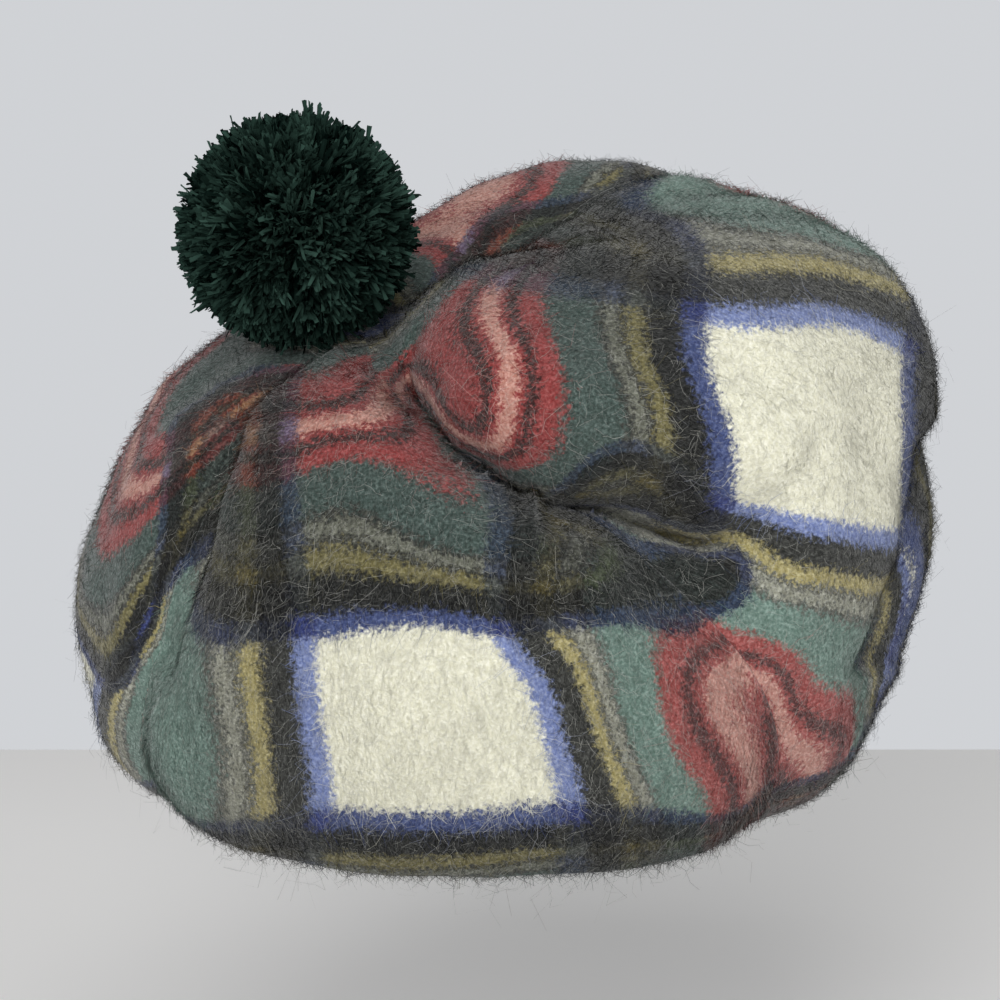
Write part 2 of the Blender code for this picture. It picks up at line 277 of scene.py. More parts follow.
def gore_grid(columns, rows):
    """across and share over a gore, with columns closer towards the seams."""
    share = np.linspace(APEX_HOLE / (2 * HALF_WIDTH), 1, rows + 1)
    across = np.sin(np.linspace(-1, 1, columns + 1) * CLOSING_TURN) / math.sin(CLOSING_TURN)
    return np.meshgrid(across, share)


def grid_faces(columns, rows):
    """The faces of such a grid, each as the numbers of its four corners."""
    wide = columns + 1
    starts = [r * wide + c for r in range(rows) for c in range(columns)]
    return [(i, i + 1, i + wide + 1, i + wide) for i in starts]


def gore_skin(gore, across, share):
    """The points and outward normals of a gore."""
    points = crown_point(gore, across, share)
    step = 0.002
    sideways = crown_point(gore, across + step, share) - crown_point(gore, across - step, share)
    lower = crown_point(gore, across, np.clip(share + step, 0.001, 1.0))
    upper = crown_point(gore, across, np.clip(share - step, 0.001, 1.0))
    normal = np.cross(lower - upper, sideways)
    return points, normal / np.linalg.norm(normal, axis=-1, keepdims=True)


# Where stripes are seen to run, from the front at VIEW_TURN above the level: millimetres across and
# up from the origin. threads_across is counted towards the next seam anticlockwise from above.
VIEW_DISTANCE = 1.1
VIEW_TURN = math.radians(12)
FREE = None
STRIPE_PLACES = (
    # name, gore, threads_across, threads_down, seen_across, seen_up
    ("front cream top left", -1, -36, 127, -62, 14),
    ("front cream top", -1, FREE, 127, -22, 19),
    ("front cream top right", -1, 36, 127, -2, 15),
    ("front cream right", -1, 36, FREE, 12, -8),
    ("front cream low right", -1, 36, 199, 20, -41),
    ("front cream low", -1, FREE, 199, -21, -45),
    ("front cream low left", -1, -36, 199, -56, -43),
    ("front cream left", -1, -36, FREE, -61, -8),
    ("front red top left", FREE, FREE, 51, -73, 109),
    ("front red top", FREE, FREE, 51, -34, 116),
    ("front pink", -1, FREE, 67, -40, 97),
    ("front red low", -1, FREE, 83, -40, 76),
    ("front pink right", FREE, FREE, 67, -23, 96),
    ("front red top right", FREE, FREE, 52, -31, 113),
    ("front red low middle", FREE, FREE, 83, -1, 75),
    ("front red low right", FREE, FREE, 83, 17, 70),
    ("front grey row", -1, FREE, 101, -33, 46),
    ("front yellow row", -1, FREE, 107, -33, 37),
    ("front blue row", -1, FREE, 123, -23, 22),
    ("front blue row right", -1, FREE, 123, 38, 22),
    ("front purple crossing", -1, -40, FREE, -70, 97),
    ("front yellow left 1", -1, -57, FREE, -82, 104),
    ("front yellow left 2", -1, -57, FREE, -85, 83),
    ("front yellow left 3", -1, -57, FREE, -86, 59),
    ("front yellow left 4", -1, -57, FREE, -86, 22),
    ("front yellow left 5", -1, -57, FREE, -84, -11),
    ("front yellow left 6", -1, -57, FREE, -80, -33),
    ("front green left", -1, -75, FREE, -115, -12),
    ("front blue right 1", -1, 40, FREE, 1, 56),
    ("front blue right 2", -1, 40, FREE, 16, -2),
    ("front blue right 3", -1, 40, FREE, 24, -34),
    ("front yellow right 1", -1, 57, FREE, 21, 55),
    ("front yellow right 2", -1, 57, FREE, 18, 20),
    ("front yellow right 3", -1, 57, FREE, 33, -11),
    ("front yellow right 4", -1, 57, FREE, 43, -36),
    ("front red right 1", -1, 80, FREE, 56, 20),
    ("front red right 2", -1, 80, FREE, 55, 1),
    ("front red right 3", -1, 80, FREE, 59, -23),
    ("front red right 4", -1, 80, FREE, 70, -37),
    ("front dark right 1", -1, 89, FREE, 67, 7),
    ("front dark right 2", -1, 89, FREE, 69, -16),
    ("front dark right 3", -1, 89, FREE, 77, -30),
    ("front seam red", -1, 99, FREE, 86, -16),
    ("front low blue", -1, FREE, 203, 35, -45),
    ("front pink leg 1", -1, 96, FREE, 74, 1),
    ("front pink leg 2", -1, 96, FREE, 79, -16),
    ("front pink leg 3", -1, 96, FREE, 86, -32),
    ("front low black", -1, FREE, 213, -27, -56),
    ("right cream top left", 0, 36, 127, 72, 122),
    ("right cream top right", 0, 36, 199, 139, 112),
    ("right cream low right", 0, -36, 199, 137, 44),
    ("right cream low left", 0, -36, 127, 80, 61),
    ("right cream left 1", 0, 10, 127, 74, 100),
    ("right cream left 2", 0, -16, 127, 81, 78),
    ("right red side 1", 0, FREE, 83, 19, 116),
    ("right red side 2", 0, FREE, 83, 21, 91),
    ("right pink 1", 0, FREE, 67, -3, 124),
    ("right pink 2", 0, FREE, 67, 1, 87),
    ("right lap tip", 0, -15, 85, 16, 73),
    ("right lap green", 0, FREE, 46, -24, 126),
    ("right lap red", 0, FREE, 55, -15, 101),
    ("right lap dark", 0, FREE, 62, -4, 82),
    ("right yellow spot", 0, FREE, 107, 57, 85),
    ("right blue 1", 0, FREE, 123, 67, 116),
    ("right blue 2", 0, FREE, 123, 76, 75),
    ("right upper blue 1", 0, 40, FREE, 31, 134),
    ("right upper blue 2", 0, 40, FREE, 110, 126),
    ("right upper yellow 1", 0, 57, FREE, -3, 146),
    ("right upper yellow 2", 0, 57, FREE, 74, 144),
    ("right upper yellow 3", 0, 57, FREE, 137, 134),
    ("right upper green", 0, 73, FREE, 103, 158),
    ("right lower blue 1", 0, -40, FREE, 80, 60),
    ("right lower blue 2", 0, -40, FREE, 130, 48),
    ("right lower yellow 1", 0, -57, FREE, 80, 50),
    ("right lower yellow 2", 0, -57, FREE, 98, 36),
    ("right lower yellow 3", 0, -57, FREE, 112, 35),
    ("right lower yellow 4", 0, -57, FREE, 133, 23),
    ("right red leg 1", 0, -80, FREE, 80, 17),
    ("right red leg 2", 0, -80, FREE, 93, 14),
    ("right red leg 3", 0, -80, FREE, 109, -1),
    ("right red leg 4", 0, -80, FREE, 122, -12),
    ("right dark leg 1", 0, -89, FREE, 84, 8),
    ("right dark leg 2", 0, -89, FREE, 100, -7),
    ("right dark leg 3", 0, -89, FREE, 110, -15),
    ("right pink leg 1", 0, -96, FREE, 90, -9),
    ("right pink leg 2", 0, -96, FREE, 101, -22),
    ("right pink leg 3", 0, -96, FREE, 108, -28),
    ("right seam red 1", 0, -99, FREE, 89, -16),
    ("right seam red 2", 0, -100, FREE, 97, -29),
    ("leg seam 1", FREE, FREE, 145, 75, 2),
    ("leg seam 2", FREE, FREE, 162, 86, -14),
    ("leg seam 3", FREE, FREE, 182, 93, -31),
    ("leg end 1", FREE, FREE, 186, 112, -24),
    ("leg end 2", FREE, FREE, 184, 120, -12),
    ("leg purple", FREE, FREE, 201, 79, -44),
    ("right green end", 0, FREE, 194, 130, 0),
    ("right green middle", 0, FREE, 186, 126, 27),
    ("right far blue", 0, FREE, 203, 141, 49),
    ("right far black", 0, FREE, 211, 145, 97),
    ("hollow dark 1", FREE, FREE, 114, 62, 37),
    ("hollow dark 2", FREE, FREE, 114, 71, 39),
    ("hollow blue 1", FREE, FREE, 123, 55, 22),
    ("hollow blue 2", FREE, FREE, 123, 69, 21),
    ("hollow blue 3", FREE, FREE, 123, 80, 28),
    ("arc 1", 0, -57, FREE, 33, 68),
    ("arc 2", 0, -57, FREE, 55, 65),
    ("arc 3", 0, -57, FREE, 64, 49),
    ("back red", 1, -20, 67, -4, 170),
    ("back red side", 1, -22, 83, 20, 171),
    ("back dark", 1, -46, 113, 48, 172),
    ("left top green", FREE, FREE, 44, -102, 100),
    ("left red top", FREE, FREE, 51, -107, 87),
    ("left red", 2, FREE, 67, -123, 66),
    ("left red low", 2, FREE, 83, -137, 45),
    ("left grey", 2, FREE, 101, -132, 22),
    ("left blue", 2, FREE, 123, -126, 1),
    ("left orange 1", 2, 57, FREE, -100, 91),
    ("left orange 2", 2, 57, FREE, -104, 76),
    ("left orange 3", 2, 57, FREE, -108, 55),
    ("left yellow low", 2, 57, FREE, -120, -17),
    ("left purple 1", 2, 40, FREE, -112, 76),
    ("left purple 2", 2, 40, FREE, -114, 49),
    ("left purple 3", 2, 40, FREE, -116, 22),
)
CLOTH_GRIDS = {-1: (96, 150), 0: (96, 150), 1: (64, 100), 2: (64, 100)}

eye = np.array((0.0, -math.cos(VIEW_TURN), math.sin(VIEW_TURN))) * VIEW_DISTANCE
view_right = np.array((1.0, 0.0, 0.0))
view_up = np.array((0.0, math.sin(VIEW_TURN), math.cos(VIEW_TURN)))


def find_places():
    """For each stripe place, the gore that is seen there and the point on it."""
    corners, faces, owners = [], [], []
    for gore, (columns, rows) in CLOTH_GRIDS.items():
        start = len(corners)
        corners.extend(Vector(p) for p in crown_point(gore, *gore_grid(columns, rows)).reshape(-1, 3))
        for face in grid_faces(columns, rows):
            faces.append([start + i for i in face])
            owners.append(gore)
    tree = BVHTree.FromPolygons(corners, faces)
    found = []
    for name, gore, threads_across, threads_down, seen_across, seen_up in STRIPE_PLACES:
        through = (seen_across * view_right + seen_up * view_up) / 1000.0
        hit, _, face, _ = tree.ray_cast(Vector(eye), Vector(through - eye), 3.0)
        if hit is not None:
            found.append((name, owners[face], gore, threads_across, threads_down, np.array(hit)))
    return found


def through_places(places, values, at, softness=0.016):
    """A smooth surface of values through scattered places, read at other places."""
    places, values = np.array(places), np.array(values)
    scale = HALF_WIDTH

    def kernel(a, b):
        apart = np.linalg.norm(a[:, None, :] - b[None, :, :], axis=-1)
        return np.sqrt((apart / scale) ** 2 + (softness / scale) ** 2)

    count = len(places)
    flat = np.concatenate([np.ones((count, 1)), places / scale], axis=1)
    system = np.zeros((count + 4, count + 4))
    system[:count, :count] = kernel(places, places) - 0.004 * np.eye(count)
    system[:count, count:] = flat
    system[count:, :count] = flat.T
    system[count:, count:] = 1e-9 * np.eye(4)
    weight = np.linalg.solve(system, np.concatenate([values, np.zeros(4)]))
    target = at.reshape(-1, 3)
    read = kernel(target, places) @ weight[:count]
    read += np.concatenate([np.ones((len(target), 1)), target / scale], axis=1) @ weight[count:]
    return read.reshape(at.shape[:-1])


# The right gore is turned in its lap, so that its lower rows run up its far seam. These are its threads
# down there, at shares of the way down.
RIGHT_SEAM_ROWS = ((0.2, 75), (0.3, 118), (0.4, 165), (0.5, 212), (0.6, 236), (0.7, 250), (0.8, 262))

found_places = find_places()
# The lap hides the cloth between the front gore's red rows and the right gore's, so they need not meet.
LAPPED = ("front red", "front pink")
SHARING = {-1: (-1, 2), 0: (0, 1), 1: (-1, 0, 1, 2), 2: (-1, 1, 2)}


def down_anchors(gore):
    """Known places of the threads down for a gore: the seen ones, and the plain rows of the unseen side."""
    places, values = [], []
    for name, hit_gore, place_gore, _, down, hit in found_places:
        hidden = gore == 0 and name.startswith(LAPPED)
        shared = hit_gore == place_gore and place_gore in SHARING[gore]
        if down is not FREE and (place_gore is FREE or shared) and not hidden:
            places.append(hit)
            values.append(down)
    for owner in (-1, 0, 1, 2):
        for share in (0.015, 0.1, 0.25, 0.4, 0.55, 0.7, 0.8, 0.9, 1.0):
            for across in (-1.0, -0.5, 0.0, 0.5):
                point = crown_point(owner, np.array(across), np.array(share))
                seen_side = point[1] < 0.03 and 0.03 < share < 0.78
                turned = gore == 0 and owner in (0, 1) and 0.1 < share < 0.85
                if not seen_side and not turned:
                    places.append(point)
                    values.append(float(through_rows(GORE_ROWS, 1, np.array(share))))
    if gore == 0:
        for share, down in RIGHT_SEAM_ROWS:
            places.append(crown_point(0, np.array(1.0), np.array(share)))
            values.append(down)
    return places, values


def across_anchors(gore):
    """Known places of a gore's threads across: its edges, its seen stripes and its hidden middle."""
    places, values = [], []
    low = 1 + 2 * (gore + 1)
    for row in GORE_EDGES:
        for edge, column in ((-1.0, low), (1.0, low + 1)):
            places.append(crown_point(gore, np.array(edge), np.array(max(row[0], 0.015))))
            values.append(row[column])
    for _, hit_gore, owner, threads_across, _, hit in found_places:
        if owner == gore and hit_gore == gore and threads_across is not FREE:
            places.append(hit)
            values.append(threads_across)
    for share in (0.08, 0.2, 0.35, 0.5, 0.65, 0.84, 0.92, 1.0):
        if gore in (1, 2) or share > 0.8:
            places.append(crown_point(gore, np.array(0.0), np.array(share)))
            values.append(0.0)
    return places, values


def cloth_threads(gore, points):
    """Threads across and down for points of a gore's skin."""
    down = through_places(*down_anchors(gore), points)
    across = through_places(*across_anchors(gore), points)
    return across, down

def waves(points, length, seed):
    """An even, seeded unevenness between about -1 and 1, with humps of about this length."""
    random = np.random.default_rng(seed)
    total = np.zeros(points.shape[:-1])
    for _ in range(18):
        way = random.normal(size=3)
        way *= random.uniform(0.6, 1.5) * 2 * np.pi / (length * np.linalg.norm(way))
        total += np.sin(points @ way + random.uniform(0, 2 * np.pi))
    return total / 6.0


# The sett from the middle of its cream band to the middle of its pink one, in threads
HALF_SETT = 96.0
CREAM_MIDDLE = 163.0
EDGE_SOFTNESS = 1.5
CROSS_SHOW = 0.07
SETT = (
    # start, end, yarn
    (0.0, 36.0, "cream"),
    (36.0, 43.0, "blue"),
    (43.0, 54.0, "black"),
    (54.0, 59.0, "yellow"),
    (59.0, 60.8, "soft black"),
    (60.8, 64.2, "white"),
    (64.2, 66.0, "soft black"),
    (66.0, 80.0, "green"),
    (80.0, 87.0, "red"),
    (87.0, 90.6, "dark red"),
    (90.6, 93.4, "red"),
    (93.4, 96.0, "pink"),
)
# Each stripe's yarns as the shares of red, green and blue light that they leave of the cream's. The
# weft shows more on the brushed face, so its stripes are deeper.
YARNS = {
    # yarn: (down the gore), (across the gore)
    "cream": ((1.0, 1.0, 1.0), (1.0, 1.0, 1.0)),
    "blue": ((0.25, 0.32, 0.74), (0.070, 0.10, 0.31)),
    "black": ((0.040, 0.042, 0.047), (0.011, 0.012, 0.014)),
    "yellow": ((0.46, 0.41, 0.23), (0.21, 0.19, 0.10)),
    "soft black": ((0.14, 0.145, 0.155), (0.048, 0.050, 0.052)),
    "white": ((0.38, 0.39, 0.39), (0.19, 0.20, 0.195)),
    "green": ((0.19, 0.295, 0.31), (0.068, 0.104, 0.114)),
    "red": ((0.40, 0.10, 0.115), (0.34, 0.060, 0.072)),
    "dark red": ((0.11, 0.045, 0.055), (0.055, 0.024, 0.028)),
    "pink": ((0.64, 0.34, 0.35), (0.66, 0.34, 0.34)),
}
CREAM = (0.665, 0.652, 0.525)
HAZE = (0.34, 0.35, 0.33)


def new_group(name, kind, inputs, outputs):
    """An empty node group with named inputs and outputs, and the sockets at its two ends."""
    group = bpy.data.node_groups.new(name, kind)
    for label, socket_kind, value in inputs:
        socket = group.interface.new_socket(label, in_out="INPUT", socket_type=f"NodeSocket{socket_kind}")
        if value is not None:
            socket.default_value = value
    for label, socket_kind in outputs:
        group.interface.new_socket(label, in_out="OUTPUT", socket_type=f"NodeSocket{socket_kind}")
    return group, group.nodes.new("NodeGroupInput").outputs, group.nodes.new("NodeGroupOutput").inputs


def new_material(name, values):
    """A material with plain values on its shader, its node tree and its shader's sockets."""
    material = bpy.data.materials.new(name)
    material.use_nodes = True
    shader = material.node_tree.nodes["Principled BSDF"]
    for key, value in values.items():
        shader.inputs[key].default_value = value
    return material, material.node_tree, shader.inputs


def add_node(tree, kind, inputs=(), **settings):
    """A node with its settings. Each of its inputs is given a value, or is joined to an output."""
    node = tree.nodes.new(kind)
    for name, value in settings.items():
        setattr(node, name, value)
    for key, value in dict(inputs).items():
        if isinstance(value, bpy.types.NodeSocket):
            tree.links.new(value, node.inputs[key])
        else:
            node.inputs[key].default_value = value
    return node


def figure(tree, operation, *values):
    """A number worked out from others."""
    return add_node(tree, "ShaderNodeMath", enumerate(values), operation=operation).outputs[0]


def direction(tree, operation, *values):
    """A vector worked out from others, or a number from two of them."""
    node = add_node(tree, "ShaderNodeVectorMath", enumerate(values), operation=operation)
    return node.outputs["Value" if operation == "DOT_PRODUCT" else "Vector"]


def scaled(tree, vector, factor):
    values = {0: vector, "Scale": factor}
    return add_node(tree, "ShaderNodeVectorMath", values, operation="SCALE").outputs["Vector"]


def blended(tree, blend, share, first, second):
    """Two colours blended, the second one by its share."""
    values = {0: share, 6: first, 7: second}
    return add_node(tree, "ShaderNodeMix", values, data_type="RGBA", blend_type=blend).outputs[2]


def split_axes(tree, vector):
    return add_node(tree, "ShaderNodeSeparateXYZ", {0: vector}).outputs


def dress_tartan_group():
    """The cloth's colour from its threads: two sets of stripes, which darken each other at crossings."""
    inputs = (("Threads", "Vector", None), ("Place", "Vector", None), ("Fuzz", "Float", None))
    tree, given, result = new_group("dress_tartan", "ShaderNodeTree", inputs, [("Color", "Color")])
    threads = split_axes(tree, given["Threads"])
    sides = []
    for axis, middle, seed, way in (("X", 0.0, 3.0, 0), ("Y", CREAM_MIDDLE, 11.0, 1)):
        values = {"Vector": given["Place"], "W": seed, "Scale": 620.0, "Detail": 4.0, "Roughness": 0.65}
        noise = add_node(tree, "ShaderNodeTexNoise", values, noise_dimensions="4D").outputs["Fac"]
        shift = figure(tree, "SUBTRACT", noise, 0.5)
        spread = figure(tree, "MULTIPLY_ADD", shift, given["Fuzz"], threads[axis])
        fold = figure(tree, "PINGPONG", figure(tree, "SUBTRACT", spread, middle), HALF_SETT)
        ramp = add_node(tree, "ShaderNodeValToRGB", {0: figure(tree, "DIVIDE", fold, HALF_SETT)})
        stops = ramp.color_ramp.elements
        for start, end, yarn in SETT:
            soft = min(EDGE_SOFTNESS, (end - start) * 0.3)
            for at in (start + soft, end - soft):
                stops.new(at / HALF_SETT).color = (*YARNS[yarn][way], 1.0)
        stops.remove(stops[-1])
        stops.remove(stops[0])
        sides.append(ramp.outputs["Color"])
    crossing = blended(tree, "MULTIPLY", 1.0, *sides)
    # Where two stripes cross, some of each one's colour still shows
    glint = direction(tree, "ADD", *sides)
    for colour in sides:
        glint = direction(tree, "MULTIPLY", glint, direction(tree, "SUBTRACT", (1.0, 1.0, 1.0), colour))
    woven = direction(tree, "MULTIPLY_ADD", glint, (CROSS_SHOW, CROSS_SHOW, CROSS_SHOW), crossing)
    tree.links.new(blended(tree, "MULTIPLY", 1.0, woven, (*CREAM, 1.0)), result["Color"])
    return tree


tartan_group = dress_tartan_group()


def use_tartan(tree, fuzz):
    """The tartan's colour in a material, read from the piece's threads attribute, and the place on it."""
    threads = add_node(tree, "ShaderNodeAttribute", attribute_name="threads").outputs["Vector"]
    place = add_node(tree, "ShaderNodeTexCoord").outputs["Object"]
    values = {"Threads": threads, "Place": place, "Fuzz": fuzz}
    tartan = add_node(tree, "ShaderNodeGroup", values, node_tree=tartan_group)
    return tartan.outputs["Color"], place, threads


def brushed_cloth():
    """The woven ground: felted, dull, with a mottled nap."""
    values = {"Roughness": 0.95, "Specular IOR Level": 0.15, "Sheen Weight": 0.25, "Sheen Roughness": 0.5}
    material, tree, shader = new_material("brushed tartan cloth", values)
    colour, place, threads = use_tartan(tree, 15.0)
    values = {"Vector": place, "Scale": 1000.0, "Detail": 5.0}
    mottle = add_node(tree, "ShaderNodeTexNoise", values).outputs["Fac"]
    values = {"Value": mottle, "From Min": 0.33, "From Max": 0.67, "To Min": 1.30, "To Max": 0.76}
    tone = add_node(tree, "ShaderNodeMapRange", values).outputs[0]
    layer = add_node(tree, "ShaderNodeGamma", {"Color": colour, "Gamma": tone}).outputs["Color"]
    # Pale fibres lie over the stripes in two slanting ways
    for slant, seed in ((0.5, 2.0), (-0.7, 9.0)):
        values = {"Vector": threads, "Rotation": (0.0, 0.0, slant), "Scale": (2.4, 0.6, 1.0)}
        lie = add_node(tree, "ShaderNodeMapping", values).outputs[0]
        values = {"Vector": lie, "W": seed, "Scale": 1.0, "Detail": 2.0, "Distortion": 0.8}
        strands = add_node(tree, "ShaderNodeTexNoise", values, noise_dimensions="4D").outputs["Fac"]
        values = {"Value": strands, "From Min": 0.50, "From Max": 0.72, "To Max": 0.075}
        share = add_node(tree, "ShaderNodeMapRange", values).outputs[0]
        layer = blended(tree, "LIGHTEN", share, layer, (*HAZE, 1.0))
    tree.links.new(layer, shader["Base Color"])
    bump = add_node(tree, "ShaderNodeBump", {"Strength": 0.6, "Distance": 0.0008, "Height": mottle})
    tree.links.new(bump.outputs["Normal"], shader["Normal"])
    return material


def add_piece(name, points, faces, material):
    mesh = bpy.data.meshes.new(name)
    mesh.from_pydata([tuple(p) for p in points], [], faces)
    mesh.materials.append(material)
    mesh.shade_smooth()
    piece = bpy.data.objects.new(name, mesh)
    bpy.context.scene.collection.objects.link(piece)
    return piece


def store_on_points(piece, name, kind, values):
    """Keeps a value for each of a piece's points, which its material or its node tree reads."""
    stored = piece.data.attributes.new(name, kind, "POINT")
    field = "vector" if kind == "FLOAT_VECTOR" else "value"
    stored.data.foreach_set(field, np.array(values, np.float32).ravel())


GORES = (("front", -1), ("right", 0), ("back", 1), ("left", 2))
CLOTH_WAVE, CLOTH_WAVE_LENGTH = 0.0010, 0.035
cloth = brushed_cloth()
cloth_pieces = {}
for side, gore in GORES:
    columns, rows = CLOTH_GRIDS[gore]
    across, share = gore_grid(columns, rows)
    points, normal = gore_skin(gore, across, share)
    threads = np.stack([*cloth_threads(gore, points), np.zeros(points.shape[:2])], axis=-1).reshape(-1, 3)
    settled = smooth((0.95 - share) / 0.2) * smooth(share / 0.1)
    points += normal * (CLOTH_WAVE * waves(points, CLOTH_WAVE_LENGTH, 5) * settled)[..., None]
    inner = points - normal * CLOTH_WALL
    wide = columns + 1
    size = points.shape[0] * wide
    faces = []
    for face in grid_faces(columns, rows):
        faces.append(face[::-1])
        faces.append(tuple(size + i for i in face))
    rims = (
        list(range(wide)),
        list(range(wide - 1, size, wide)),
        list(range(size - 1, size - wide - 1, -1)),
        list(range(size - wide, -1, -wide)),
    )
    for rim in rims:
        for i, j in zip(rim, rim[1:]):
            faces.append((i, j, size + j, size + i))
    skins = np.concatenate([points.reshape(-1, 3), inner.reshape(-1, 3)])
    piece = add_piece(f"cloth_{side}", skins, faces, cloth)
    store_on_points(piece, "threads", "FLOAT_VECTOR", np.concatenate([threads, threads]))
    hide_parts(f"crown_panel_{side}")
    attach(piece, "root")
    cloth_pieces[side] = piece

# Nap
# Long curly mohair fibres, brushed up out of the cloth. They carry the colour of the stripe that they
# grow from over its edge, and stand as a pale haze over the dark stripes and round the outline.
NAP_END = 0.88
NAP_SORTS = (
    # name, share of the fibres, length, width, lift, curl, bends, paleness
    ("nap", 1.0, 0.0038, 0.00015, 0.50, 0.50, 2, 0.0),
    ("hairs", 0.16, 0.0080, 0.00011, 0.12, 0.60, 6, 1.50),
)
NAP = (
    # side, gore, fibres, lay_up, seed
    ("front", -1, 36000, -0.9, 21),
    ("right", 0, 36000, -0.2, 22),
    ("back", 1, 12000, -0.5, 23),
    ("left", 2, 12000, -0.6, 24),
)
PALE_FIBRE = (0.46, 0.46, 0.43)


def mohair():
    """Single fibres: the stripe's colour, each made paler by its own tone."""
    material, tree, shader = new_material("mohair nap", {"Roughness": 0.9, "Specular IOR Level": 0.05})
    # A fibre takes the light as the cloth below it does, as light passes through it
    outward = add_node(tree, "ShaderNodeAttribute", attribute_name="outward")
    tree.links.new(outward.outputs["Vector"], shader["Normal"])
    colour = use_tartan(tree, 4.0)[0]
    tone = add_node(tree, "ShaderNodeAttribute", attribute_name="tone").outputs["Fac"]
    values = {"Value": tone, "From Min": 0.45, "From Max": 2.2, "To Min": 0.0, "To Max": 0.55}
    pale = add_node(tree, "ShaderNodeMapRange", values).outputs[0]
    tree.links.new(blended(tree, "MIX", pale, colour, (*PALE_FIBRE, 1.0)), shader["Base Color"])
    return material


def step(tree, kind, inputs=(), **settings):
    """The first output of a geometry node."""
    return add_node(tree, f"GeometryNode{kind}", inputs, **settings).outputs[0]


def read_from_points(tree, name, kind):
    node = add_node(tree, "GeometryNodeInputNamedAttribute", {"Name": name}, data_type=kind)
    return node.outputs["Attribute"]


def turned_along(tree, way):
    return add_node(tree, "FunctionNodeAlignRotationToVector", {"Vector": way}, axis="Z").outputs[0]


def joined_axes(tree, values):
    return add_node(tree, "ShaderNodeCombineXYZ", values).outputs[0]


